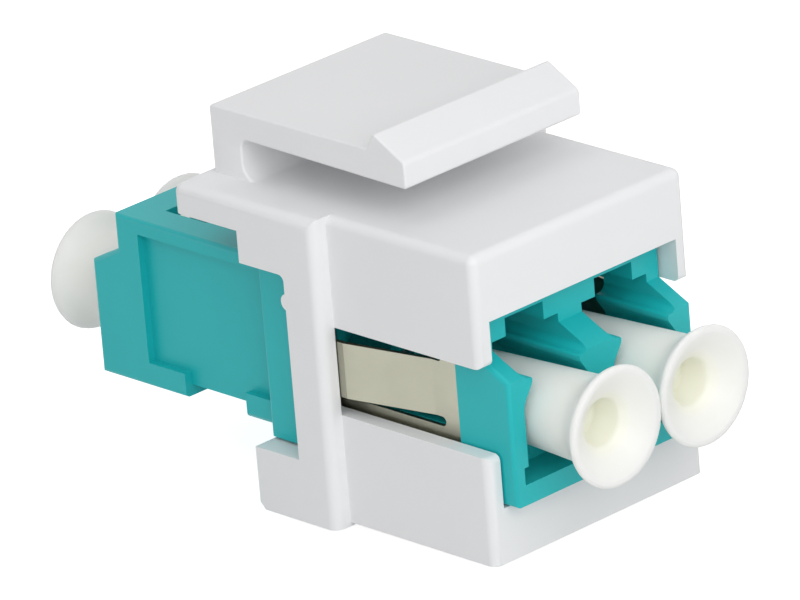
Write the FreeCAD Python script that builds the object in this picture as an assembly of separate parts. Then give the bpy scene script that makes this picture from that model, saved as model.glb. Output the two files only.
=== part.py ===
import FreeCAD, Part
import math
import os

# Keystone fibre coupler: a white keystone housing with a sprung latch arm holds a duplex coupler,
# which is kept in place by a metal spring clip and closed by four dust plugs.
# Millimetres. X runs across the body, the front face looks along -Y, Z is up.
# The origin is the middle of the front face's lower edge.

# Keystone body
BODY_WIDTH = 14.8
BODY_HEIGHT = 16.25
BODY_DEPTH = 10.1
BODY_EDGE_RADIUS = 0.5
AXIS_HEIGHT = 7.15
CAVITY_SIDE_CLEARANCE = 0.1
CAVITY_FLOOR_CLEARANCE = 0.1
CAVITY_CEILING_CLEARANCE = 0.2
SIDE_SLOT_BASE = 5.75
SIDE_SLOT_HEIGHT = 4.65
SIDE_SLOT_RADIUS = 0.35
SIDE_SLOT_REACH = 0.9

# Stop flange, foot and rear shelf of the housing
FLANGE_OVERHANG = 1.0
FLANGE_DROP = 0.2
FLANGE_FRONT_WALL = 2.35
FLANGE_EDGE_RADIUS = 0.55
SEAT_CLEARANCE = 0.05
SEAT_DEPTH = 3.05
SEAT_ROOF_CLEARANCE = 0.45
SEAT_FLOOR_CLEARANCE = 0.15
SEAT_CORNER_RADIUS = 0.35
NUB_RADIUS = 0.45
NUB_REACH = 0.3
NUB_DROP = 0.95
NUB_CLEARANCE = 0.1
SHELF_LENGTH = 4.5
SHELF_THICKNESS = 1.6
FOOT_CHAMFER = 0.35

# Grip on the panel: the latch lip above and the fixed lug below stand this far ahead of the flange
PANEL_GRIP = 1.95
LUG_WIDTH = 8.0
LUG_LENGTH = 1.5
LUG_HEIGHT = 1.0
LUG_CHAMFER = 0.4

# Latch arm
ARM_WIDTH = 12.3
ARM_THICKNESS = 1.65
ARM_GAP = 1.95
ARM_REACH = 13.7
ARM_TAPER = 0.2
ARM_EDGE_RADIUS = 0.22
RISER_THICKNESS = 2.1
RISER_INSET = 0.8
RISER_FOOT_RADIUS = 0.9
RISER_CORNER_RADIUS = 0.5
LIP_HEIGHT = 0.9
LIP_BACK_SLOPE = 0.55
LIP_NOSE_DROP = 0.25

# Duplex coupler: two mouldings that meet at the parting plane, with heights taken from the port axis
PORT_PITCH = 6.25
COUPLER_WIDTH = 12.9
COUPLER_RISE = 5.35
FRONT_HALF_DROP = 4.15
REAR_HALF_DROP = 3.7
COUPLER_EDGE_RADIUS = 0.25
MOUTH_REACH = 0.85
HALF_LENGTH = 14.75
MOUTH_STEP = 1.95
MOUTH_STEP_TOP = 3.4
MOUTH_STEP_BASE = 2.45
COLLAR_WIDTH = 14.4
COLLAR_DROP = 3.85
COLLAR_REAR_THICKNESS = 1.65
COLLAR_EDGE_RADIUS = 0.2

# Port section: body opening, stem slot, slot for the latch ears and keyway, with heights from the port axis
PORT_WIDTH = 4.7
PORT_DROP = 2.3
PORT_CORNER_RISE = 1.0
PORT_CORNER_RADIUS = 0.4
PORT_TOOTH_BASE = 2.02
PORT_TOOTH_RADIUS = 0.13
PORT_SHOULDER_LENGTH = 6.3
STEM_SLOT_WIDTH = 3.3
LATCH_SLOT_WIDTH = 4.6
LATCH_SLOT_BASE = 2.3
LATCH_SLOT_TOP = 3.85
LATCH_SLOT_RADIUS = 0.45
KEYWAY_WIDTH = 2.65
KEYWAY_ROOF = 0.55
KEYWAY_RIM = 2.0
LATCH_WINDOW_WIDTH = 3.2
LATCH_WINDOW_LENGTH = 3.0
FLOOR_RELIEF_WIDTH = 5.3
FLOOR_RELIEF_BASE = 3.1
FLOOR_RELIEF_HEIGHT = 0.9
FLOOR_RELIEF_DEPTH = 2.2
WEB_THICKNESS = 1.2

# Side pockets and strap channel for the spring clip, with lengths from the lower mouth
POCKET_DEPTH = 0.45
POCKET_FRONT = 3.6
POCKET_DROP = 2.4
POCKET_HEIGHT = 6.95
CHANNEL_FRONT = 6.2
CHANNEL_LENGTH = 4.4
CHANNEL_DEPTH = 0.6
CLIP_CLEARANCE = 0.05
CLIP_SIDE_PLAY = 0.1

# Spring clip
CLIP_THICKNESS = 0.25
CLIP_REAR_MARGIN = 0.5
LEAF_ROOT = 1.0
LEAF_HEIGHT = 2.95
LEAF_BASE_RISE = 1.95
LEAF_SLIT = 0.5
LEAF_END_GAP = 0.05
LEAF_SIDE_PLAY = 0.05
LEAF_SPREAD = 1.05
LEAF_STRAIGHT = 0.4
LEAF_TAIL = 1.3

# Split sleeves and the tubes that hold them
SLEEVE_BORE_RADIUS = 0.625
SLEEVE_WALL = 0.19
SLEEVE_LENGTH = 6.8
SLEEVE_SLIT = 0.2
SLEEVE_CLEARANCE = 0.06
SLEEVE_END_PLAY = 0.1
TUBE_WALL = 0.5
TUBE_LIP = 0.6
TUBE_LIP_CLEARANCE = 0.08

# Dust plugs
PLUG_RIM_RADIUS = 3.1
PLUG_RIM_EDGE = 0.3
PLUG_RIM_LIP = 0.35
PLUG_REACH = 4.0
REAR_PLUG_SEATING = 0.3
PLUG_FLARE_LENGTH = 1.0
PLUG_FLARE_ROUNDING = 0.75
PLUG_INSERTION = 5.2
PLUG_CLEARANCE = 0.1
PLUG_TAPER = 0.35
FUNNEL_DEPTH = 1.1
FUNNEL_BORE_RADIUS = 1.2
FUNNEL_BORE_DEPTH = 1.7

# Places that follow from the sizes above
LOWER_MOUTH = -MOUTH_REACH
UPPER_MOUTH = LOWER_MOUTH + MOUTH_STEP
WINDOW_END = UPPER_MOUTH + KEYWAY_RIM + LATCH_WINDOW_LENGTH
PARTING_Y = LOWER_MOUTH + HALF_LENGTH
COLLAR_FRONT = BODY_DEPTH + FLANGE_FRONT_WALL
COLLAR_FRONT_THICKNESS = PARTING_Y - COLLAR_FRONT
CLIP_INSIDE = COUPLER_WIDTH / 2 - POCKET_DEPTH + CLIP_CLEARANCE
CLIP_OUTSIDE = CLIP_INSIDE + CLIP_THICKNESS
CLIP_REAR = COLLAR_FRONT - CLIP_REAR_MARGIN
LEAF_WINDOW_REAR = CLIP_REAR - CLIP_REAR_MARGIN
FLANGE_REAR = COLLAR_FRONT + SEAT_DEPTH
SHELF_REAR = FLANGE_REAR + SHELF_LENGTH
FLANGE_WIDTH = BODY_WIDTH + 2 * FLANGE_OVERHANG
COUPLER_TOP = AXIS_HEIGHT + COUPLER_RISE
FRONT_HALF_BASE = AXIS_HEIGHT - FRONT_HALF_DROP
REAR_HALF_BASE = AXIS_HEIGHT - REAR_HALF_DROP
COLLAR_BASE = AXIS_HEIGHT - COLLAR_DROP
CAVITY_WIDTH = COUPLER_WIDTH + 2 * CAVITY_SIDE_CLEARANCE
CAVITY_FLOOR = FRONT_HALF_BASE - CAVITY_FLOOR_CLEARANCE
CAVITY_CEILING = COUPLER_TOP + CAVITY_CEILING_CLEARANCE
GRIP_Y = BODY_DEPTH - PANEL_GRIP
ARM_UNDERSIDE = BODY_HEIGHT + ARM_GAP
ARM_TOP = ARM_UNDERSIDE + ARM_THICKNESS
POCKET_Y = LOWER_MOUTH + POCKET_FRONT
POCKET_BASE = AXIS_HEIGHT - POCKET_DROP
CHANNEL_Y = LOWER_MOUTH + CHANNEL_FRONT
LEAF_FRONT = POCKET_Y + CLIP_SIDE_PLAY + LEAF_ROOT + LEAF_SLIT / 2
LEAF_BASE = POCKET_BASE + LEAF_BASE_RISE
BARREL_RADIUS = PORT_WIDTH / 2 - PLUG_CLEARANCE
SLEEVE_RADIUS = SLEEVE_BORE_RADIUS + SLEEVE_WALL
PORT_CENTRES = (-PORT_PITCH / 2, PORT_PITCH / 2)
MARGIN = 1.0


def point(x, y, z):
    return FreeCAD.Vector(x, y, z)


def span_box(x_span, y_span, z_span):
    """Box between the low and high ends of three spans."""
    size = [high - low for low, high in (x_span, y_span, z_span)]
    return Part.makeBox(*size, point(x_span[0], y_span[0], z_span[0]))


def across(width, middle=0.0):
    """Span of a width centred on a middle value."""
    return (middle - width / 2, middle + width / 2)


def wire_through(points):
    """Closed wire; a three-point tuple in the list is an arc's start, middle and end."""
    edges = []
    last = None
    for item in points:
        if isinstance(item, tuple):
            start, middle, end = item
            if last is not None and last.distanceToPoint(start) > 1e-7:
                edges.append(Part.LineSegment(last, start).toShape())
            edges.append(Part.Arc(start, middle, end).toShape())
            last = end
        else:
            if last is not None:
                edges.append(Part.LineSegment(last, item).toShape())
            last = item
    first = points[0][0] if isinstance(points[0], tuple) else points[0]
    if last.distanceToPoint(first) > 1e-7:
        edges.append(Part.LineSegment(last, first).toShape())
    return Part.Wire(edges)


def prism(profile, place, along):
    """Extrude a closed flat outline; place turns the two numbers of a corner into a point."""
    moved = []
    for item in profile:
        corners = item if isinstance(item[0], tuple) else (item,)
        vectors = tuple(place(*corner) for corner in corners)
        moved.append(vectors if len(vectors) > 1 else vectors[0])
    return Part.Face(wire_through(moved)).extrude(along)


def side_prism(profile, width):
    """Extrude a closed Y, Z profile by a width centred on the middle plane."""
    return prism(profile, lambda y, z: point(-width / 2, y, z), point(width, 0, 0))


def front_prism(profile, y_span):
    """Extrude a closed X, Z outline between two depths."""
    return prism(profile, lambda x, z: point(x, y_span[0], z), point(0, y_span[1] - y_span[0], 0))


def plan_prism(profile, z_span):
    """Extrude a closed X, Y outline between two heights."""
    return prism(profile, lambda x, y: point(x, y, z_span[0]), point(0, 0, z_span[1] - z_span[0]))


def corner_arc(corner, before, after, cut):
    """Arc that rounds a corner, as three points; it leaves the two directions at the cut's distance."""
    before = tuple(b / math.hypot(*before) for b in before)
    after = tuple(a / math.hypot(*after) for a in after)
    half_angle = math.acos(sum(b * a for b, a in zip(before, after))) / 2
    pull = cut / math.cos(half_angle) - cut * math.tan(half_angle)
    bisector = tuple((b + a) / (2 * math.cos(half_angle)) for b, a in zip(before, after))
    start = tuple(c + cut * b for c, b in zip(corner, before))
    middle = tuple(c + pull * d for c, d in zip(corner, bisector))
    end = tuple(c + cut * a for c, a in zip(corner, after))
    return (start, middle, end)


def round_edges(shape, radius, wanted):
    """Fillet the edges whose centre satisfies a test."""
    edges = [edge for edge in shape.Edges if wanted(edge.CenterOfMass)]
    return shape.makeFillet(radius, edges)


def near(value, target):
    return abs(value - target) < 1e-4


def housing_body():
    """Front box of the keystone body, with its upper and front edges softened."""
    outer = span_box(across(BODY_WIDTH), (0, BODY_DEPTH + MARGIN), (0, BODY_HEIGHT))
    half = BODY_WIDTH / 2

    def outer_edge(centre):
        on_side = near(abs(centre.x), half)
        on_top = near(centre.z, BODY_HEIGHT)
        on_front = near(centre.y, 0)
        return (on_side and on_top) or (on_front and (on_side or on_top))

    return round_edges(outer, BODY_EDGE_RADIUS, outer_edge)


def housing_flange():
    """Stop flange with its foot and the rear shelf that carries the latch arm."""
    shelf_base = BODY_HEIGHT - SHELF_THICKNESS
    profile = [
        (BODY_DEPTH, -FLANGE_DROP),
        (FLANGE_REAR - FOOT_CHAMFER, -FLANGE_DROP),
        (FLANGE_REAR, FOOT_CHAMFER - FLANGE_DROP),
        (FLANGE_REAR, shelf_base),
        (SHELF_REAR, shelf_base),
        (SHELF_REAR, BODY_HEIGHT),
        (BODY_DEPTH, BODY_HEIGHT),
    ]
    flange = side_prism(profile, FLANGE_WIDTH)
    half = FLANGE_WIDTH / 2

    def outer_edge(centre):
        on_side = near(abs(centre.x), half)
        front_corner = on_side and near(centre.y, BODY_DEPTH)
        top_corner = on_side and near(centre.z, BODY_HEIGHT)
        rear_corner = near(centre.y, SHELF_REAR) and near(centre.z, BODY_HEIGHT)
        return front_corner or top_corner or rear_corner

    return round_edges(flange, FLANGE_EDGE_RADIUS, outer_edge)


def panel_lug():
    """Fixed lug under the body that hooks behind the lower edge of the panel opening."""
    front = GRIP_Y - LUG_LENGTH
    profile = [
        (front, MARGIN),
        (front, LUG_CHAMFER - LUG_HEIGHT),
        (front + LUG_CHAMFER, -LUG_HEIGHT),
        (GRIP_Y, -LUG_HEIGHT),
        (GRIP_Y, MARGIN),
    ]
    return side_prism(profile, LUG_WIDTH)


def seat_nubs():
    """Small rounded nubs on the seat's front wall, one beside each end of the collar."""
    inner = COLLAR_WIDTH / 2 + NUB_CLEARANCE
    length = FLANGE_WIDTH / 2 - inner
    y = COLLAR_FRONT - SEAT_CLEARANCE + NUB_REACH - NUB_RADIUS
    z = COUPLER_TOP - NUB_DROP
    return [
        Part.makeCylinder(NUB_RADIUS, length, point(start, y, z), point(1, 0, 0))
        for start in (inner, -inner - length)
    ]


def side_slots():
    """Ways through both side walls for the clip's leaves, open in front and reaching in under the flange."""
    base = SIDE_SLOT_BASE
    top = SIDE_SLOT_BASE + SIDE_SLOT_HEIGHT
    profile = [
        (-MARGIN, base - SIDE_SLOT_RADIUS),
        corner_arc((0, base), (0, -1), (1, 0), SIDE_SLOT_RADIUS),
        (BODY_DEPTH, base),
        (BODY_DEPTH, top),
        corner_arc((0, top), (1, 0), (0, 1), SIDE_SLOT_RADIUS),
        (-MARGIN, top + SIDE_SLOT_RADIUS),
    ]
    width = 2 * (CLIP_OUTSIDE + LEAF_SPREAD + LEAF_SIDE_PLAY)
    end = span_box(across(width), (BODY_DEPTH - MARGIN, BODY_DEPTH + SIDE_SLOT_REACH), (base, top))
    return side_prism(profile, BODY_WIDTH + MARGIN).fuse(end)


def collar_seat():
    """Way across the flange in which the coupler's collar sits, open to the rear."""
    front = COLLAR_FRONT - SEAT_CLEARANCE
    rear = FLANGE_REAR + MARGIN
    base = COLLAR_BASE - SEAT_FLOOR_CLEARANCE
    top = COUPLER_TOP + SEAT_ROOF_CLEARANCE
    profile = [
        (front, base),
        corner_arc((front, top), (0, -1), (1, 0), SEAT_CORNER_RADIUS),
        (rear, top),
        (rear, base),
    ]
    return side_prism(profile, FLANGE_WIDTH + MARGIN)


def keystone_housing():
    """Housing: body, flange, lug and nubs, with the ways through it for the coupler and its clip."""
    shell = housing_body().fuse([housing_flange(), panel_lug()])
    through = (-MARGIN, SHELF_REAR + MARGIN)
    cavity = span_box(across(CAVITY_WIDTH), through, (CAVITY_FLOOR, CAVITY_CEILING))
    return shell.cut([cavity, side_slots(), collar_seat()]).fuse(seat_nubs()).removeSplitter()


def latch_arm():
    """Sprung arm: a riser on the shelf, a flat arm above the body and a wedge lip at its free end."""
    riser_rear = SHELF_REAR - RISER_INSET
    riser_front = riser_rear - RISER_THICKNESS
    tip = riser_rear - ARM_REACH
    crest = (GRIP_Y - LIP_BACK_SLOPE, ARM_TOP + LIP_HEIGHT)
    nose = (tip, ARM_TOP - LIP_NOSE_DROP)
    lip_back = (LIP_BACK_SLOPE, -LIP_HEIGHT)
    lip_ramp = (nose[0] - crest[0], nose[1] - crest[1])
    ramp_up = (-lip_ramp[0], -lip_ramp[1])
    root = (riser_front, ARM_UNDERSIDE + ARM_TAPER)
    underside = (riser_front - tip, ARM_TAPER)
    profile = [
        (riser_rear, BODY_HEIGHT),
        corner_arc((riser_rear, ARM_TOP), (0, -1), (-1, 0), ARM_EDGE_RADIUS),
        (GRIP_Y, ARM_TOP),
        corner_arc(crest, lip_back, lip_ramp, ARM_EDGE_RADIUS),
        corner_arc(nose, ramp_up, (0, -1), ARM_EDGE_RADIUS),
        corner_arc((tip, ARM_UNDERSIDE), (0, 1), underside, ARM_EDGE_RADIUS),
        corner_arc(root, (-underside[0], -underside[1]), (0, -1), RISER_CORNER_RADIUS),
        corner_arc((riser_front, BODY_HEIGHT), (0, 1), (-1, 0), RISER_FOOT_RADIUS),
    ]
    return side_prism(profile, ARM_WIDTH)


def port_section(x):
    """Outline of one port across the coupler: body opening, stem slot and slot for the latch ears."""
    body = PORT_WIDTH / 2
    stem = STEM_SLOT_WIDTH / 2
    ears = LATCH_SLOT_WIDTH / 2
    corner = (body - stem, PORT_CORNER_RISE - PORT_TOOTH_BASE)
    right = [
        (body, -PORT_DROP),
        corner_arc((body, PORT_CORNER_RISE), (0, -1), (-corner[0], -corner[1]), PORT_CORNER_RADIUS),
        corner_arc((stem, PORT_TOOTH_BASE), corner, (0, 1), PORT_TOOTH_RADIUS),
        corner_arc((stem, LATCH_SLOT_BASE), (0, -1), (1, 0), PORT_TOOTH_RADIUS),
        corner_arc((ears, LATCH_SLOT_BASE), (-1, 0), (0, 1), LATCH_SLOT_RADIUS),
        (ears, LATCH_SLOT_TOP),
    ]

    def placed(spot, side):
        return (x + side * spot[0], AXIS_HEIGHT + spot[1])

    outline = []
    for side, items in ((1, right), (-1, right[::-1])):
        for item in items:
            if isinstance(item[0], tuple):
                outline.append(tuple(placed(spot, side) for spot in item[::side]))
            else:
                outline.append(placed(item, side))
    return outline


def port_cutters(x):
    """Solids that hollow out one port: the section at its mouth and the wider room behind its shoulders."""
    start = LOWER_MOUTH - MARGIN
    shoulder = LOWER_MOUTH + PORT_SHOULDER_LENGTH
    floor = AXIS_HEIGHT - PORT_DROP
    slot_base = AXIS_HEIGHT + LATCH_SLOT_BASE
    slot_top = AXIS_HEIGHT + LATCH_SLOT_TOP
    relief = (AXIS_HEIGHT - FLOOR_RELIEF_BASE, AXIS_HEIGHT - FLOOR_RELIEF_BASE + FLOOR_RELIEF_HEIGHT)
    return [
        front_prism(port_section(x), (start, shoulder)),
        span_box(across(PORT_WIDTH, x), (shoulder, PARTING_Y - WEB_THICKNESS), (floor, slot_top)),
        span_box(across(KEYWAY_WIDTH, x), (start, WINDOW_END), (slot_base, COUPLER_TOP - KEYWAY_ROOF)),
        span_box(across(FLOOR_RELIEF_WIDTH, x), (start, LOWER_MOUTH + FLOOR_RELIEF_DEPTH), relief),
    ]


def latch_windows():
    """Openings in the coupler's top above the latch shoulders, one over each port."""
    span = (WINDOW_END - LATCH_WINDOW_LENGTH, WINDOW_END)
    heights = (AXIS_HEIGHT + LATCH_SLOT_BASE, COUPLER_TOP + MARGIN)
    return [span_box(across(LATCH_WINDOW_WIDTH, x), span, heights) for x in PORT_CENTRES]


def sleeve_tube(x):
    """Tube on the web that traps one end of a split sleeve, and the bores that go through it."""
    bore = SLEEVE_RADIUS + SLEEVE_CLEARANCE
    seat = SLEEVE_LENGTH / 2 + SLEEVE_END_PLAY
    length = seat + TUBE_LIP
    outwards = point(0, -1, 0)
    centre = point(x, PARTING_Y, AXIS_HEIGHT)
    tube = Part.makeCylinder(bore + TUBE_WALL, length, centre, outwards)
    sleeve_seat = Part.makeCylinder(bore, seat, centre, outwards)
    ferrule_way = Part.makeCylinder(SLEEVE_BORE_RADIUS + TUBE_LIP_CLEARANCE, length, centre, outwards)
    return tube, [sleeve_seat, ferrule_way]


def clip_pockets(base):
    """Shallow pockets in both sides and the channel under the body where a spring clip sits."""
    channel = (CHANNEL_Y, CHANNEL_Y + CHANNEL_LENGTH)
    pocket = (POCKET_Y, COLLAR_FRONT)
    face = COUPLER_WIDTH / 2
    cutters = [span_box(across(COUPLER_WIDTH + MARGIN), channel, (base - MARGIN, base + CHANNEL_DEPTH))]
    for side in (-1, 1):
        depth = sorted((side * (face - POCKET_DEPTH), side * (face + MARGIN)))
        cutters.append(span_box(depth, pocket, (POCKET_BASE, POCKET_BASE + POCKET_HEIGHT)))
        cutters.append(span_box(depth, channel, (base - MARGIN, POCKET_BASE + MARGIN)))
    return cutters


def leaf_ways():
    """Windows from the side pockets into the ports, which give the clip's leaves room to flex inwards."""
    inner = (PORT_PITCH + STEM_SLOT_WIDTH) / 2
    heights = (LEAF_BASE - LEAF_SLIT, LEAF_BASE + LEAF_HEIGHT + LEAF_SLIT)
    return [
        span_box(sorted((side * inner, side * COUPLER_WIDTH / 2)), (LEAF_FRONT, LEAF_WINDOW_REAR), heights)
        for side in (-1, 1)
    ]


def coupler_body(base):
    """Long body of a coupler half, with its mouth stepped back above the ports."""
    profile = [
        (PARTING_Y, base),
        (LOWER_MOUTH, base),
        (LOWER_MOUTH, AXIS_HEIGHT + MOUTH_STEP_BASE),
        (UPPER_MOUTH, AXIS_HEIGHT + MOUTH_STEP_TOP),
        (UPPER_MOUTH, COUPLER_TOP),
        (PARTING_Y, COUPLER_TOP),
    ]
    body = side_prism(profile, COUPLER_WIDTH)

    def side_edge(centre):
        return near(abs(centre.x), COUPLER_WIDTH / 2) and not near(centre.y, PARTING_Y)

    return round_edges(body, COUPLER_EDGE_RADIUS, side_edge)


def collar(thickness):
    """Half of the collar round the middle of the coupler, which seats in the housing's flange."""
    front = PARTING_Y - thickness
    band = span_box(across(COLLAR_WIDTH), (front, PARTING_Y), (COLLAR_BASE, COUPLER_TOP))

    def front_edge(centre):
        return near(abs(centre.x), COLLAR_WIDTH / 2) and near(centre.y, front)

    return round_edges(band, COLLAR_EDGE_RADIUS, front_edge)


def coupler_half(base, collar_thickness):
    """One moulding of the coupler, with its mouth towards the front."""
    half = coupler_body(base).cut(clip_pockets(base)).fuse(collar(collar_thickness))
    tubes = []
    bores = []
    for x in PORT_CENTRES:
        half = half.cut(port_cutters(x))
        tube, tube_bores = sleeve_tube(x)
        tubes.append(tube)
        bores += tube_bores
    return half.fuse(tubes).cut(bores).removeSplitter()


def turned_about(shape):
    """The same piece at the other end of the coupler, mirrored in the parting plane."""
    return shape.mirror(point(0, PARTING_Y, 0), point(0, 1, 0))


def clip_leaf(side):
    """Leaf cut from a side plate and bent outwards, which locks against the rear end of its slot."""
    front = LEAF_FRONT
    bend = front + LEAF_STRAIGHT
    end = BODY_DEPTH + SIDE_SLOT_REACH - LEAF_END_GAP
    tail = end - LEAF_TAIL
    outline = [
        (side * CLIP_INSIDE, front),
        (side * CLIP_INSIDE, bend),
        (side * (CLIP_INSIDE + LEAF_SPREAD), tail),
        (side * (CLIP_INSIDE + LEAF_SPREAD), end),
        (side * (CLIP_OUTSIDE + LEAF_SPREAD), end),
        (side * (CLIP_OUTSIDE + LEAF_SPREAD), tail),
        (side * CLIP_OUTSIDE, bend),
        (side * CLIP_OUTSIDE, front),
    ]
    return plan_prism(outline, (LEAF_BASE, LEAF_BASE + LEAF_HEIGHT))


def leaf_window(x_span):
    """Window that frees a leaf on three sides, with rounded slit ends beside the leaf's root."""
    slits = (LEAF_BASE - LEAF_SLIT / 2, LEAF_BASE + LEAF_HEIGHT + LEAF_SLIT / 2)
    heights = (slits[0] - LEAF_SLIT / 2, slits[1] + LEAF_SLIT / 2)
    window = span_box(x_span, (LEAF_FRONT, LEAF_WINDOW_REAR), heights)
    width = x_span[1] - x_span[0]
    ends = [
        Part.makeCylinder(LEAF_SLIT / 2, width, point(x_span[0], LEAF_FRONT, height), point(1, 0, 0))
        for height in slits
    ]
    return [window] + ends


def spring_clip():
    """U-shaped clip: a plate in each side pocket, a strap under the body and one leaf a side."""
    plate_y = (POCKET_Y + CLIP_SIDE_PLAY, CLIP_REAR)
    plate_z = (POCKET_BASE + CLIP_SIDE_PLAY, POCKET_BASE + POCKET_HEIGHT - CLIP_SIDE_PLAY)
    strap_y = (CHANNEL_Y + CLIP_SIDE_PLAY, CHANNEL_Y + CHANNEL_LENGTH - CLIP_SIDE_PLAY)
    strap_top = FRONT_HALF_BASE + CHANNEL_DEPTH - CLIP_CLEARANCE
    strap_z = (strap_top - CLIP_THICKNESS, strap_top)
    pieces = [span_box(across(2 * CLIP_OUTSIDE), strap_y, strap_z)]
    for side in (-1, 1):
        plate_x = sorted((side * CLIP_INSIDE, side * CLIP_OUTSIDE))
        plate = span_box(plate_x, plate_y, plate_z)
        window_x = sorted((side * (CLIP_INSIDE - MARGIN), side * (CLIP_OUTSIDE + MARGIN)))
        window = leaf_window(window_x)
        tab = span_box(plate_x, strap_y, (strap_z[0], plate_z[0] + CLIP_THICKNESS))
        pieces += [plate.cut(window), clip_leaf(side), tab]
    return pieces[0].fuse(pieces[1:]).removeSplitter()


def split_sleeve(x):
    """Ceramic sleeve with a slit along its top."""
    start = point(x, PARTING_Y - SLEEVE_LENGTH / 2, AXIS_HEIGHT)
    along = point(0, 1, 0)
    sleeve = Part.makeCylinder(SLEEVE_RADIUS, SLEEVE_LENGTH, start, along)
    bore = Part.makeCylinder(SLEEVE_BORE_RADIUS, SLEEVE_LENGTH, start, along)
    slit = span_box(
        across(SLEEVE_SLIT, x),
        across(SLEEVE_LENGTH + MARGIN, PARTING_Y),
        (AXIS_HEIGHT, AXIS_HEIGHT + SLEEVE_RADIUS + MARGIN),
    )
    return sleeve.cut([bore, slit])


def front_dust_plug(x):
    """Dust plug of a front port: a tapered barrel that flares to a thin rim, with a funnel in its face."""
    face = LOWER_MOUTH - PLUG_REACH
    tip = LOWER_MOUTH + PLUG_INSERTION
    flare_start = face + PLUG_RIM_EDGE
    neck = (BARREL_RADIUS, flare_start + PLUG_FLARE_LENGTH)
    barrel = (-PLUG_TAPER, tip - neck[1])
    flare = (PLUG_RIM_RADIUS - BARREL_RADIUS, -PLUG_FLARE_LENGTH)
    funnel_end = face + FUNNEL_DEPTH
    outline = [
        point(0, tip, 0),
        point(BARREL_RADIUS - PLUG_TAPER, tip, 0),
        tuple(point(r, y, 0) for r, y in corner_arc(neck, barrel, flare, PLUG_FLARE_ROUNDING)),
        point(PLUG_RIM_RADIUS, flare_start, 0),
        point(PLUG_RIM_RADIUS, face, 0),
        point(PLUG_RIM_RADIUS - PLUG_RIM_LIP, face, 0),
        point(FUNNEL_BORE_RADIUS, funnel_end, 0),
        point(FUNNEL_BORE_RADIUS, funnel_end + FUNNEL_BORE_DEPTH, 0),
        point(0, funnel_end + FUNNEL_BORE_DEPTH, 0),
    ]
    plug = Part.Face(wire_through(outline)).revolve(point(0, 0, 0), point(0, 1, 0), 360)
    return plug.translated(point(x, 0, AXIS_HEIGHT))


def build():
    """Every piece of the coupler by its node name."""
    pieces = {
        "keystone_housing": keystone_housing(),
        "latch_arm": latch_arm(),
        "coupler_front_half": coupler_half(FRONT_HALF_BASE, COLLAR_FRONT_THICKNESS).cut(leaf_ways()),
        "coupler_rear_half": turned_about(
            coupler_half(REAR_HALF_BASE, COLLAR_REAR_THICKNESS).cut(latch_windows())
        ),
        "spring_clip": spring_clip(),
    }
    for side, x in zip(("left", "right"), PORT_CENTRES):
        plug = front_dust_plug(x)
        pieces["split_sleeve_" + side] = split_sleeve(x)
        pieces["dust_plug_front_" + side] = plug
        pieces["dust_plug_rear_" + side] = turned_about(plug.translated(point(0, REAR_PLUG_SEATING, 0)))
    return pieces


os.makedirs("parts", exist_ok=True)
for node, shape in build().items():
    shape.exportStep(os.path.join("parts", node + ".step"))
    box = shape.BoundBox
    print(node, "solids", len(shape.Solids), "valid", shape.isValid(), "volume", round(shape.Volume, 2),
          "box", [round(value, 2) for value in (box.XMin, box.XMax, box.YMin, box.YMax, box.ZMin, box.ZMax)])
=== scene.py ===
import math

import bmesh
import bpy
from bpy.props import FloatProperty, FloatVectorProperty, PointerProperty
from mathutils import Matrix, Vector


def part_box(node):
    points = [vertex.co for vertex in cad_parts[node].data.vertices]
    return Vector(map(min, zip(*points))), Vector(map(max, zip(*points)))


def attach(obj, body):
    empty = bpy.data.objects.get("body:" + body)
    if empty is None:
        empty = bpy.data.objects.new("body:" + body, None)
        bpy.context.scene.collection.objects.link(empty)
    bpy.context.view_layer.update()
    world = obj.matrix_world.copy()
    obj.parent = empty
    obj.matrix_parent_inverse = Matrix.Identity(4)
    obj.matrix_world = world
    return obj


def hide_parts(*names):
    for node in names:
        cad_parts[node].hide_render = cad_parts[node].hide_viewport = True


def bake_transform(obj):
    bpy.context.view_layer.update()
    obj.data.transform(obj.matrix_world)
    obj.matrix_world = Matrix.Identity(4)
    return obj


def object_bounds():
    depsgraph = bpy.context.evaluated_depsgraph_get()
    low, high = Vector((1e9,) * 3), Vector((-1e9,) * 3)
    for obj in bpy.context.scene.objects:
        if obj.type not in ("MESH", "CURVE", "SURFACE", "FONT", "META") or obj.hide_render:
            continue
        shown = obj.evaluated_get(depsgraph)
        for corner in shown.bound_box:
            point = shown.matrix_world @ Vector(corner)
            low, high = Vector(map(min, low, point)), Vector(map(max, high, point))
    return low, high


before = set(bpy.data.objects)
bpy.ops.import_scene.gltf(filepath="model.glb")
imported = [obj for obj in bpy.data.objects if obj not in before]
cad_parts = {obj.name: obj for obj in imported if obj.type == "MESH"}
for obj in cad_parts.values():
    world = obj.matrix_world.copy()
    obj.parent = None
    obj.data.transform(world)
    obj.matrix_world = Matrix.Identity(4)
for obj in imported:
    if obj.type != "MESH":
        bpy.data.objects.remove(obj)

bl_info = {
    "name": "Keystone Fibre Coupler",
    "version": (1, 0, 0),
    "blender": (4, 5, 0),
    "location": "View3D > Sidebar > Coupler",
    "description": "Dresses a keystone fibre coupler in moulded plastic, spring steel and soft plug finishes",
    "category": "Object",
}

CAD_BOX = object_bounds()
MM = 0.001
PER_MM = 1.0 / MM

HOUSING = "keystone_housing"
LATCH = "latch_arm"
COUPLER_HALVES = ("coupler_front_half", "coupler_rear_half")
CLIP = "spring_clip"
SLEEVES = ("split_sleeve_left", "split_sleeve_right")
PLUGS = (
    "dust_plug_front_left",
    "dust_plug_front_right",
    "dust_plug_rear_left",
    "dust_plug_rear_right",
)

LATCH_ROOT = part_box(LATCH)[0][2]
RISER_HEIGHT = 1.95 * MM
BEND_ROWS = 8

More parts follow.
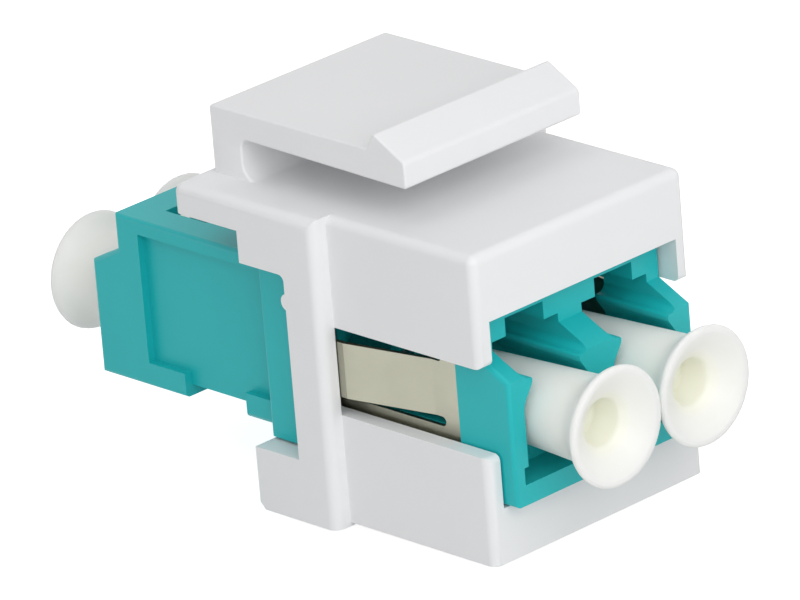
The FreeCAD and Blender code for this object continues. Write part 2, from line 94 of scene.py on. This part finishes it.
WELD = 0.0005 * MM
FLAT_ANGLE = math.radians(0.2)
SHARP_ANGLE = math.radians(35)
HALF_CORNER = math.radians(45)
CORNER_STEPS = 5
EDGE_SEGMENTS = 2
LATCH_SEGMENTS = 3

# Edges of the bore and the funnel, as shares of a plug's radius; the painted shade in the bore fades out
# between them.
PLUG_BORE = 0.36
PLUG_FUNNEL = 0.6

# Stretch of the noise that draws fine lines along the clip and round the sleeves.
DRAWING_LINES = (14.0, 0.5, 14.0)
GRINDING_LINES = (0.5, 18.0, 0.5)

# Brightness of the second tone in a finish, as a share of the first.
STEEL_STAIN = 0.86
PLUG_CLOUD = 0.97
CERAMIC_RING = 0.94

# Lowest and highest roughness in a finish, or its spread to both sides.
MOULDED_SPREAD = 0.06
STEEL_ROUGHNESS = (0.3, 0.46)
PLUG_ROUGHNESS = (0.34, 0.46)
CERAMIC_ROUGHNESS = (0.12, 0.24)

# Colour sockets of the mix node.
MIX_FIRST, MIX_SECOND, MIX_RESULT = 6, 7, 2

FLOOR_GAP = 0.05 * MM
FLOOR_REACH = 3.0
FLOOR_ROUGHNESS = 0.9
FLOOR_GLOW = 0.85
WHITE = (1.0, 1.0, 1.0, 1.0)
SENSOR_WIDTH = 36.0
NEAREST_SEEN = 0.01
FARTHEST_SEEN = 20.0


class CouplerFinishes(bpy.types.PropertyGroup):
    """Colours, roughness and sheen of the coupler's finishes."""

    white: FloatVectorProperty(
        name="White moulding",
        description="Main colour of the housing and the latch arm",
        subtype="COLOR", size=3, min=0.0, max=1.0, default=(0.86, 0.865, 0.875),
    )
    white_shade: FloatVectorProperty(
        name="White flow marks",
        description="Slightly darker tone in the housing's moulding flow",
        subtype="COLOR", size=3, min=0.0, max=1.0, default=(0.825, 0.83, 0.84),
    )
    white_roughness: FloatProperty(
        name="White roughness",
        description="Roughness of the satin white moulding",
        subtype="FACTOR", min=0.0, max=1.0, default=0.46,
    )
    white_sheen: FloatProperty(
        name="White sheen",
        description="Specular level of the white moulding",
        subtype="FACTOR", min=0.0, max=1.0, default=0.4,
    )
    aqua: FloatVectorProperty(
        name="Aqua moulding",
        description="Main colour of the two coupler halves",
        subtype="COLOR", size=3, min=0.0, max=1.0, default=(0.012, 0.5, 0.52),
    )
    aqua_shade: FloatVectorProperty(
        name="Aqua flow marks",
        description="Slightly deeper tone in the coupler's moulding flow",
        subtype="COLOR", size=3, min=0.0, max=1.0, default=(0.009, 0.45, 0.47),
    )
    aqua_roughness: FloatProperty(
        name="Aqua roughness",
        description="Roughness of the satin aqua moulding",
        subtype="FACTOR", min=0.0, max=1.0, default=0.42,
    )
    aqua_sheen: FloatProperty(
        name="Aqua sheen",
        description="Specular level of the aqua moulding",
        subtype="FACTOR", min=0.0, max=1.0, default=0.36,
    )
    steel: FloatVectorProperty(
        name="Clip steel",
        description="Reflection colour of the rolled spring steel",
        subtype="COLOR", size=3, min=0.0, max=1.0, default=(0.4, 0.395, 0.32),
    )
    plug: FloatVectorProperty(
        name="Plug body",
        description="Natural colour of the soft dust plugs",
        subtype="COLOR", size=3, min=0.0, max=1.0, default=(0.94, 0.925, 0.885),
    )
    # Painted shade: a darker, warmer tone painted into the plugs' blind bores.
    plug_bore_shade: FloatVectorProperty(
        name="Plug bore",
        description="Warmer tone deep in the plugs' blind bores",
        subtype="COLOR", size=3, min=0.0, max=1.0, default=(0.93, 0.93, 0.82),
    )
    plug_scatter: FloatProperty(
        name="Plug scatter",
        description="Depth to which light scatters in the cloudy plastic of the dust plugs",
        unit="LENGTH", subtype="DISTANCE", min=0.0, default=0.8 * MM,
    )
    ceramic: FloatVectorProperty(
        name="Sleeve ceramic",
        description="Colour of the polished split sleeves",
        subtype="COLOR", size=3, min=0.0, max=1.0, default=(0.85, 0.84, 0.8),
    )


class CouplerEdges(bpy.types.PropertyGroup):
    """Widths of the soft edges that moulding and stamping leave."""

    housing: FloatProperty(
        name="Housing edge",
        description="Width of the softened edges on the white moulding",
        unit="LENGTH", subtype="DISTANCE", min=0.0, default=0.14 * MM,
    )
    shelf: FloatProperty(
        name="Shelf corners",
        description="Radius of the blunt rear corners of the housing's shelf",
        unit="LENGTH", subtype="DISTANCE", min=0.0, default=0.55 * MM,
    )
    latch: FloatProperty(
        name="Latch edge",
        description="Width of the softened edges of the latch arm",
        unit="LENGTH", subtype="DISTANCE", min=0.0, default=0.13 * MM,
    )
    coupler: FloatProperty(
        name="Coupler edge",
        description="Width of the softened edges on the aqua mouldings",
        unit="LENGTH", subtype="DISTANCE", min=0.0, default=0.12 * MM,
    )
    plug: FloatProperty(
        name="Plug edge",
        description="Width of the soft edges on the rim and the bore of the dust plugs",
        unit="LENGTH", subtype="DISTANCE", min=0.0, default=0.16 * MM,
    )
    clip: FloatProperty(
        name="Clip edge",
        description="Width of the deburred edges on the spring clip",
        unit="LENGTH", subtype="DISTANCE", min=0.0, default=0.03 * MM,
    )


class CouplerStage(bpy.types.PropertyGroup):
    """Camera, lights and floor around the coupler."""

    aim: FloatVectorProperty(
        name="Aim point",
        description="Point that the camera and the soft boxes look at",
        subtype="XYZ", unit="LENGTH", size=3, default=(-0.002484, 0.010478, 0.01013),
    )
    distance: FloatProperty(
        name="Camera distance",
        description="Distance from the camera to the aim point",
        unit="LENGTH", subtype="DISTANCE", min=0.01, default=0.477634,
    )
    azimuth: FloatProperty(
        name="Camera azimuth",
        description="Turn of the view about the vertical, from looking along +Y towards +X",
        subtype="ANGLE", default=math.radians(43.167),
    )
    elevation: FloatProperty(
        name="Camera elevation",
        description="Height of the camera above the horizon",
        subtype="ANGLE", default=math.radians(21.463),
    )
    roll: FloatProperty(
        name="Camera roll",
        description="Turn of the picture about the view axis",
        subtype="ANGLE", default=math.radians(-4.773),
    )
    lens: FloatProperty(
        name="Focal length",
        description="Focal length of the long lens in millimetres on a 36 mm sensor",
        min=1.0, default=434.868,
    )
    world_light: FloatProperty(
        name="Room light",
        description="Strength of the even light from all round",
        min=0.0, default=0.56,
    )
    front_bias: FloatProperty(
        name="Front bias",
        description="Share by which the room is brighter in front of the object and darker behind it",
        subtype="FACTOR", min=0.0, max=1.0, default=0.12,
    )
    key_light: FloatProperty(
        name="Key light",
        description="Power of the soft box in front on the left and above, in watts",
        min=0.0, default=0.25,
    )
    key_place: FloatVectorProperty(
        name="Key place",
        description="Place of the key soft box, from the aim point",
        subtype="XYZ", unit="LENGTH", size=3, default=(-0.085, -0.182, 0.11),
    )
    key_size: FloatProperty(
        name="Key size",
        description="Side length of the key soft box",
        unit="LENGTH", subtype="DISTANCE", min=0.001, default=0.2,
    )
    fill_light: FloatProperty(
        name="Fill light",
        description="Power of the soft box almost overhead, in watts",
        min=0.0, default=0.15,
    )
    fill_place: FloatVectorProperty(
        name="Fill place",
        description="Place of the fill soft box, from the aim point",
        subtype="XYZ", unit="LENGTH", size=3, default=(-0.06, 0.02, 0.36),
    )
    fill_size: FloatProperty(
        name="Fill size",
        description="Side length of the fill soft box",
        unit="LENGTH", subtype="DISTANCE", min=0.001, default=0.3,
    )
    floor: FloatVectorProperty(
        name="Floor",
        description="Colour of the pale floor",
        subtype="COLOR", size=3, min=0.0, max=1.0, default=(0.7, 0.7, 0.7),
    )


def new_material(name):
    """A node material, with its tree and its principled shader."""
    material = bpy.data.materials.new(name)
    material.use_nodes = True
    return material, material.node_tree, material.node_tree.nodes["Principled BSDF"]


def feed(tree, socket, value):
    """Gives a socket a value or the socket that feeds it."""
    if isinstance(value, bpy.types.NodeSocket):
        tree.links.new(value, socket)
    else:
        socket.default_value = value


def add_node(tree, kind, settings=None, **inputs):
    """Adds a shader node; an input is a value or the socket that feeds it."""
    node = tree.nodes.new(kind)
    for key, value in (settings or {}).items():
        setattr(node, key, value)
    for key, value in inputs.items():
        feed(tree, node.inputs[key.replace("_", " ")], value)
    return node


def millimetre_coordinates(tree, stretch=(1.0, 1.0, 1.0)):
    """Object coordinates counted in millimetres, stretched along the axes."""
    place = add_node(tree, "ShaderNodeTexCoord")
    scale = tuple(PER_MM * factor for factor in stretch)
    mapping = add_node(tree, "ShaderNodeMapping", Vector=place.outputs["Object"], Scale=scale)
    return mapping.outputs["Vector"]


def noise(tree, place, **inputs):
    """A noise pattern between 0 and 1."""
    return add_node(tree, "ShaderNodeTexNoise", Vector=place, **inputs).outputs["Fac"]


def colour_mix(tree, factor, first, second):
    """Mixes two colours; each is a colour or the socket that feeds it."""
    node = tree.nodes.new("ShaderNodeMix")
    node.data_type = "RGBA"
    feed(tree, node.inputs["Factor"], factor)
    for place, colour in ((MIX_FIRST, first), (MIX_SECOND, second)):
        is_socket = isinstance(colour, bpy.types.NodeSocket)
        feed(tree, node.inputs[place], colour if is_socket else (*colour, 1.0))
    return node.outputs[MIX_RESULT]


def toned(colour, share):
    """A colour at a share of its brightness."""
    return tuple(share * channel for channel in colour)


def vary_roughness(tree, shader, pattern, low, high):
    """Lets the roughness follow a pattern between two values."""
    gloss = add_node(tree, "ShaderNodeMapRange", Value=pattern, To_Min=low, To_Max=high)
    feed(tree, shader.inputs["Roughness"], gloss.outputs["Result"])


def raise_grain(tree, shader, pattern, strength, depth):
    """Adds fine grain that follows a pattern."""
    bump = add_node(tree, "ShaderNodeBump", Strength=strength, Distance=depth, Height=pattern)
    feed(tree, shader.inputs["Normal"], bump.outputs["Normal"])


def moulded_plastic(name, colour, shade, roughness, sheen):
    """Satin injection-moulded plastic with slow flow marks and spark-eroded grain."""
    material, tree, shader = new_material(name)
    place = millimetre_coordinates(tree)
    flow = noise(tree, place, Scale=0.22, Detail=4.0, Roughness=0.55)
    grain = noise(tree, place, Scale=9.0, Detail=2.0, Roughness=0.6)
    feed(tree, shader.inputs["Base Color"], colour_mix(tree, flow, colour, shade))
    vary_roughness(tree, shader, grain, roughness - MOULDED_SPREAD, roughness + MOULDED_SPREAD)
    raise_grain(tree, shader, grain, strength=0.12, depth=0.01 * MM)
    shader.inputs["Specular IOR Level"].default_value = sheen
    return material


def rolled_steel(name, colour):
    """Rolled spring steel with fine drawing lines along the strip."""
    material, tree, shader = new_material(name)
    lines = noise(tree, millimetre_coordinates(tree, DRAWING_LINES), Scale=1.0, Detail=3.0, Roughness=0.6)
    stain = noise(tree, millimetre_coordinates(tree), Scale=0.5, Detail=2.0)
    feed(tree, shader.inputs["Base Color"], colour_mix(tree, stain, colour, toned(colour, STEEL_STAIN)))
    vary_roughness(tree, shader, lines, *STEEL_ROUGHNESS)
    raise_grain(tree, shader, lines, strength=0.15, depth=0.006 * MM)
    shader.inputs["Metallic"].default_value = 1.0
    return material


def distance_from_axis(tree):
    """0 on the long middle line of a piece of revolution and 1 at its rim."""
    place = add_node(tree, "ShaderNodeTexCoord")
    centred = add_node(
        tree, "ShaderNodeMapping",
        Vector=place.outputs["Generated"], Location=(-1.0, 0.0, -1.0), Scale=(2.0, 0.0, 2.0),
    )
    length = add_node(tree, "ShaderNodeVectorMath", {"operation": "LENGTH"})
    tree.links.new(centred.outputs["Vector"], length.inputs[0])
    return length.outputs["Value"]


def soft_plug_plastic(name, colour, deep, scatter):
    """Cloudy natural plastic of the dust plugs, with painted shade, a darker and warmer tone, down the blind
    bore.
    """
    material, tree, shader = new_material(name)
    place = millimetre_coordinates(tree)
    cloud = noise(tree, place, Scale=0.8, Detail=3.0, Roughness=0.5)
    skin = noise(tree, place, Scale=7.0, Detail=2.0)
    # Painted shade: the darker, warmer bore tone is full inside PLUG_BORE and gone beyond PLUG_FUNNEL.
    beyond_bore_shade = add_node(
        tree, "ShaderNodeMapRange", {"interpolation_type": "SMOOTHSTEP"},
        Value=distance_from_axis(tree), From_Min=PLUG_BORE, From_Max=PLUG_FUNNEL,
    )
    body = colour_mix(tree, cloud, colour, toned(colour, PLUG_CLOUD))
    feed(tree, shader.inputs["Base Color"], colour_mix(tree, beyond_bore_shade.outputs["Result"], deep, body))
    vary_roughness(tree, shader, skin, *PLUG_ROUGHNESS)
    raise_grain(tree, shader, skin, strength=0.08, depth=0.01 * MM)
    shader.inputs["Subsurface Weight"].default_value = 1.0
    shader.inputs["Subsurface Radius"].default_value = (1.0, 1.0, 1.0)
    shader.inputs["Subsurface Scale"].default_value = scatter
    return material


def polished_ceramic(name, colour):
    """Dense polished ceramic with faint grinding lines round the sleeve."""
    material, tree, shader = new_material(name)
    rings = noise(tree, millimetre_coordinates(tree, GRINDING_LINES), Scale=1.0, Detail=2.0)
    feed(tree, shader.inputs["Base Color"], colour_mix(tree, rings, colour, toned(colour, CERAMIC_RING)))
    vary_roughness(tree, shader, rings, *CERAMIC_ROUGHNESS)
    return material


def finish_node(name, material):
    """Gives a CAD node its finish through its material slots."""
    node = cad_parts[name]
    if not node.material_slots:
        node.data.materials.append(material)
    for slot in node.material_slots:
        slot.material = material
    return node


def shade_flat_faces(piece):
    """Keeps large faces flat where they meet soft edges."""
    shading = piece.modifiers.new("flat shading", "WEIGHTED_NORMAL")
    shading.keep_sharp = True


def soften_edges(piece, width):
    """Joins the facets of flat faces and rounds the sharp edges between them."""
    weld = piece.modifiers.new("joined facets", "WELD")
    weld.merge_threshold = WELD
    flat = piece.modifiers.new("flat faces", "DECIMATE")
    flat.decimate_type = "DISSOLVE"
    flat.angle_limit = FLAT_ANGLE
    soft = piece.modifiers.new("soft edges", "BEVEL")
    soft.width = width
    soft.segments = EDGE_SEGMENTS
    soft.limit_method = "ANGLE"
    soft.angle_limit = SHARP_ANGLE
    soft.use_clamp_overlap = True
    shade_flat_faces(piece)


def join_flat_faces(form):
    """Joins the facets of a shape's flat faces."""
    bmesh.ops.dissolve_limit(form, angle_limit=FLAT_ANGLE, verts=form.verts, edges=form.edges)


def joined_form(name):
    """A CAD node's shape with its facets joined into whole flat faces."""
    form = bmesh.new()
    form.from_mesh(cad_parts[name].data)
    bmesh.ops.remove_doubles(form, verts=form.verts, dist=WELD)
    join_flat_faces(form)
    return form


def round_off(form, edges, width, segments):
    """Rounds edges of a shape."""
    bmesh.ops.bevel(
        form, geom=edges, offset=width, segments=segments, profile=0.5, affect="EDGES", clamp_overlap=False,
    )


def skin_of(form, name):
    """Turns a finished shape into a smooth object."""
    for face in form.faces:
        face.smooth = True
    mesh = bpy.data.meshes.new(name)
    form.to_mesh(mesh)
    form.free()
    mesh.set_sharp_from_angle(angle=SHARP_ANGLE)
    skin = bpy.data.objects.new(name, mesh)
    bpy.context.scene.collection.objects.link(skin)
    return skin


def cut_across(form, place, axis):
    """Adds a row of points where a plane across an axis meets the shape."""
    everything = form.verts[:] + form.edges[:] + form.faces[:]
    bmesh.ops.bisect_plane(form, geom=everything, plane_co=place, plane_no=axis)


def blunt_housing(name, radius):
    """The housing as one skin, with the shelf's rear corners rounded off."""
    form = joined_form(HOUSING)
    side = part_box(HOUSING)[1][0] - radius
    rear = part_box(HOUSING)[1][1] - radius
    for step in range(CORNER_STEPS):
        reach = radius * math.tan(HALF_CORNER * step / CORNER_STEPS)
        cut_across(form, (side + reach, 0.0, 0.0), (1.0, 0.0, 0.0))
        cut_across(form, (-side - reach, 0.0, 0.0), (1.0, 0.0, 0.0))
        cut_across(form, (0.0, rear + reach, 0.0), (0.0, 1.0, 0.0))
    for vert in form.verts:
        across, along = abs(vert.co.x) - side, vert.co.y - rear
        if across > 0.0 and along > 0.0:
            shrink = max(across, along) / math.hypot(across, along)
            vert.co.x = math.copysign(side + across * shrink, vert.co.x)
            vert.co.y = rear + along * shrink
    join_flat_faces(form)
    return skin_of(form, name)


class COUPLER_OT_housing(bpy.types.Operator):
    """Make the white keystone housing with its blunt shelf corners"""

    bl_idname = "coupler.housing"
    bl_label = "Keystone Housing"

    def execute(self, context):
        look = context.scene.coupler_finishes
        edges = context.scene.coupler_edges
        white = moulded_plastic(
            "white moulding", look.white, look.white_shade, look.white_roughness, look.white_sheen,
        )
        skin = blunt_housing("housing_skin", edges.shelf)
        skin.data.materials.append(white)
        soften_edges(skin, edges.housing)
        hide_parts(HOUSING)
        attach(skin, "coupler")
        return {"FINISHED"}


def bending_latch(name, width):
    """The latch arm as one skin, with soft edges and rows of points up the riser where it bends."""
    form = joined_form(LATCH)
    sharp = [
        edge for edge in form.edges
        if edge.is_convex and edge.calc_face_angle(0.0) > SHARP_ANGLE
        and max(vert.co.z for vert in edge.verts) > LATCH_ROOT + WELD
    ]
    round_off(form, sharp, width, LATCH_SEGMENTS)
    for row in range(1, BEND_ROWS):
        height = LATCH_ROOT + RISER_HEIGHT * row / BEND_ROWS
        cut_across(form, (0.0, 0.0, height), (0.0, 0.0, 1.0))
    skin = skin_of(form, name)
    shade_flat_faces(skin)
    return skin


class COUPLER_OT_latch(bpy.types.Operator):
    """Make the latch arm, which bends where its riser meets the shelf"""

    bl_idname = "coupler.latch"
    bl_label = "Latch Arm"

    def execute(self, context):
        skin = bending_latch("latch_skin", context.scene.coupler_edges.latch)
        skin.data.materials.append(bpy.data.materials["white moulding"])
        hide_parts(LATCH)
        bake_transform(skin)
        return {"FINISHED"}


class COUPLER_OT_halves(bpy.types.Operator):
    """Dress the two aqua halves of the coupler"""

    bl_idname = "coupler.halves"
    bl_label = "Coupler Halves"

    def execute(self, context):
        look = context.scene.coupler_finishes
        aqua = moulded_plastic(
            "aqua moulding", look.aqua, look.aqua_shade, look.aqua_roughness, look.aqua_sheen,
        )
        for name in COUPLER_HALVES:
            soften_edges(finish_node(name, aqua), context.scene.coupler_edges.coupler)
        return {"FINISHED"}


class COUPLER_OT_clip(bpy.types.Operator):
    """Dress the spring clip"""

    bl_idname = "coupler.clip"
    bl_label = "Spring Clip"

    def execute(self, context):
        steel = rolled_steel("clip steel", context.scene.coupler_finishes.steel)
        soften_edges(finish_node(CLIP, steel), context.scene.coupler_edges.clip)
        return {"FINISHED"}


class COUPLER_OT_sleeves(bpy.types.Operator):
    """Dress the split sleeves inside the coupler"""

    bl_idname = "coupler.sleeves"
    bl_label = "Split Sleeves"

    def execute(self, context):
        ceramic = polished_ceramic("sleeve ceramic", context.scene.coupler_finishes.ceramic)
        for name in SLEEVES:
            finish_node(name, ceramic)
        return {"FINISHED"}


class COUPLER_OT_plugs(bpy.types.Operator):
    """Dress the four dust plugs"""

    bl_idname = "coupler.plugs"
    bl_label = "Dust Plugs"

    def execute(self, context):
        look = context.scene.coupler_finishes
        soft = soft_plug_plastic("plug plastic", look.plug, look.plug_bore_shade, look.plug_scatter)
        for name in PLUGS:
            soften_edges(finish_node(name, soft), context.scene.coupler_edges.plug)
        return {"FINISHED"}


def seen_directly(tree):
    """1 for rays from the camera, from a glossy surface or through glass, else 0."""
    path = add_node(tree, "ShaderNodeLightPath")
    total = path.outputs["Is Camera Ray"]
    for name in ("Is Glossy Ray", "Is Transmission Ray"):
        either = add_node(tree, "ShaderNodeMath", {"operation": "MAXIMUM"})
        tree.links.new(total, either.inputs[0])
        tree.links.new(path.outputs[name], either.inputs[1])
        total = either.outputs[0]
    return total


def light_room(strength, bias):
    """Soft light from all round, stronger from the front, with a white backdrop where it is seen directly."""
    world = bpy.data.worlds.new("studio")
    world.use_nodes = True
    tree = world.node_tree
    tree.nodes.clear()
    place = add_node(tree, "ShaderNodeTexCoord")
    direction = add_node(tree, "ShaderNodeSeparateXYZ", Vector=place.outputs["Generated"])
    level = add_node(
        tree, "ShaderNodeMapRange", Value=direction.outputs["Y"], From_Min=-1.0,
        To_Min=strength * (1.0 + bias), To_Max=strength * (1.0 - bias),
    )
    room = add_node(tree, "ShaderNodeBackground", Color=WHITE, Strength=level.outputs["Result"])
    backdrop = add_node(tree, "ShaderNodeBackground", Color=WHITE, Strength=1.0)
    blend = add_node(tree, "ShaderNodeMixShader")
    tree.links.new(seen_directly(tree), blend.inputs[0])
    tree.links.new(room.outputs[0], blend.inputs[1])
    tree.links.new(backdrop.outputs[0], blend.inputs[2])
    output = add_node(tree, "ShaderNodeOutputWorld")
    tree.links.new(blend.outputs[0], output.inputs["Surface"])
    bpy.context.scene.world = world


def soft_box(name, place, target, size, power):
    """Square area light aimed at a point."""
    lamp = bpy.data.lights.new(name, "AREA")
    lamp.size = size
    lamp.energy = power
    box = bpy.data.objects.new(name, lamp)
    box.location = place
    box.rotation_euler = (target - place).to_track_quat("-Z", "Y").to_euler()
    bpy.context.scene.collection.objects.link(box)


def pale_floor(colour, height):
    """Wide pale floor that stays white around the object's shadow."""
    mesh = bpy.data.meshes.new("floor")
    plan = bmesh.new()
    bmesh.ops.create_grid(plan, x_segments=1, y_segments=1, size=FLOOR_REACH)
    plan.to_mesh(mesh)
    plan.free()
    floor = bpy.data.objects.new("floor", mesh)
    floor.location = (0.0, 0.0, height)
    bpy.context.scene.collection.objects.link(floor)
    material, tree, shader = new_material("pale floor")
    shader.inputs["Base Color"].default_value = (*colour, 1.0)
    shader.inputs["Roughness"].default_value = FLOOR_ROUGHNESS
    shader.inputs["Specular IOR Level"].default_value = 0.0
    glow = add_node(tree, "ShaderNodeMath", {"operation": "MULTIPLY"})
    tree.links.new(seen_directly(tree), glow.inputs[0])
    glow.inputs[1].default_value = FLOOR_GLOW
    shader.inputs["Emission Color"].default_value = WHITE
    tree.links.new(glow.outputs[0], shader.inputs["Emission Strength"])
    mesh.materials.append(material)


def place_camera(stage):
    """Long-lens camera at the photograph's angle."""
    turn, rise, roll = stage.azimuth, stage.elevation, stage.roll
    forward = Vector((math.sin(turn) * math.cos(rise), math.cos(turn) * math.cos(rise), -math.sin(rise)))
    right = Vector((math.cos(turn), -math.sin(turn), 0.0))
    up = right.cross(forward)
    across = math.cos(roll) * right + math.sin(roll) * up
    above = math.cos(roll) * up - math.sin(roll) * right
    lens = bpy.data.cameras.new("camera")
    lens.sensor_fit = "HORIZONTAL"
    lens.sensor_width = SENSOR_WIDTH
    lens.lens = stage.lens
    lens.clip_start = NEAREST_SEEN
    lens.clip_end = FARTHEST_SEEN
    camera = bpy.data.objects.new("camera", lens)
    eye = Vector(stage.aim) - stage.distance * forward
    camera.matrix_world = Matrix.Translation(eye) @ Matrix((across, above, -forward)).transposed().to_4x4()
    bpy.context.scene.collection.objects.link(camera)
    bpy.context.scene.camera = camera


class COUPLER_OT_stage(bpy.types.Operator):
    """Add the floor, the soft studio light and the camera"""

    bl_idname = "coupler.stage"
    bl_label = "Stage"

    def execute(self, context):
        scene = context.scene
        stage = scene.coupler_stage
        scene.view_settings.view_transform = "Standard"
        light_room(stage.world_light, stage.front_bias)
        aim = Vector(stage.aim)
        soft_box("key soft box", aim + Vector(stage.key_place), aim, stage.key_size, stage.key_light)
        soft_box("fill soft box", aim + Vector(stage.fill_place), aim, stage.fill_size, stage.fill_light)
        pale_floor(stage.floor, CAD_BOX[0][2] - FLOOR_GAP)
        place_camera(stage)
        return {"FINISHED"}


SETTINGS = {
    "coupler_finishes": CouplerFinishes,
    "coupler_edges": CouplerEdges,
    "coupler_stage": CouplerStage,
}
PIECES = (
    COUPLER_OT_housing,
    COUPLER_OT_latch,
    COUPLER_OT_halves,
    COUPLER_OT_clip,
    COUPLER_OT_sleeves,
    COUPLER_OT_plugs,
    COUPLER_OT_stage,
)


class COUPLER_PT_pieces(bpy.types.Panel):
    """Buttons and settings for the coupler's pieces"""

    bl_idname = "COUPLER_PT_pieces"
    bl_label = "Keystone Fibre Coupler"
    bl_space_type = "VIEW_3D"
    bl_region_type = "UI"
    bl_category = "Coupler"

    def draw(self, context):
        for piece in PIECES:
            self.layout.operator(piece.bl_idname)
        for name, kind in SETTINGS.items():
            group = getattr(context.scene, name)
            box = self.layout.box()
            for setting in kind.__annotations__:
                box.prop(group, setting)


CLASSES = (*SETTINGS.values(), *PIECES, COUPLER_PT_pieces)


def register():
    for kind in CLASSES:
        bpy.utils.register_class(kind)
    for name, kind in SETTINGS.items():
        setattr(bpy.types.Scene, name, PointerProperty(type=kind))


def unregister():
    for name in SETTINGS:
        delattr(bpy.types.Scene, name)
    for kind in reversed(CLASSES):
        bpy.utils.unregister_class(kind)


def main():
    register()
    bpy.ops.coupler.housing()
    bpy.ops.coupler.latch()
    bpy.ops.coupler.halves()
    bpy.ops.coupler.clip()
    bpy.ops.coupler.sleeves()
    bpy.ops.coupler.plugs()
    bpy.ops.coupler.stage()


if __name__ == "__main__":
    main()
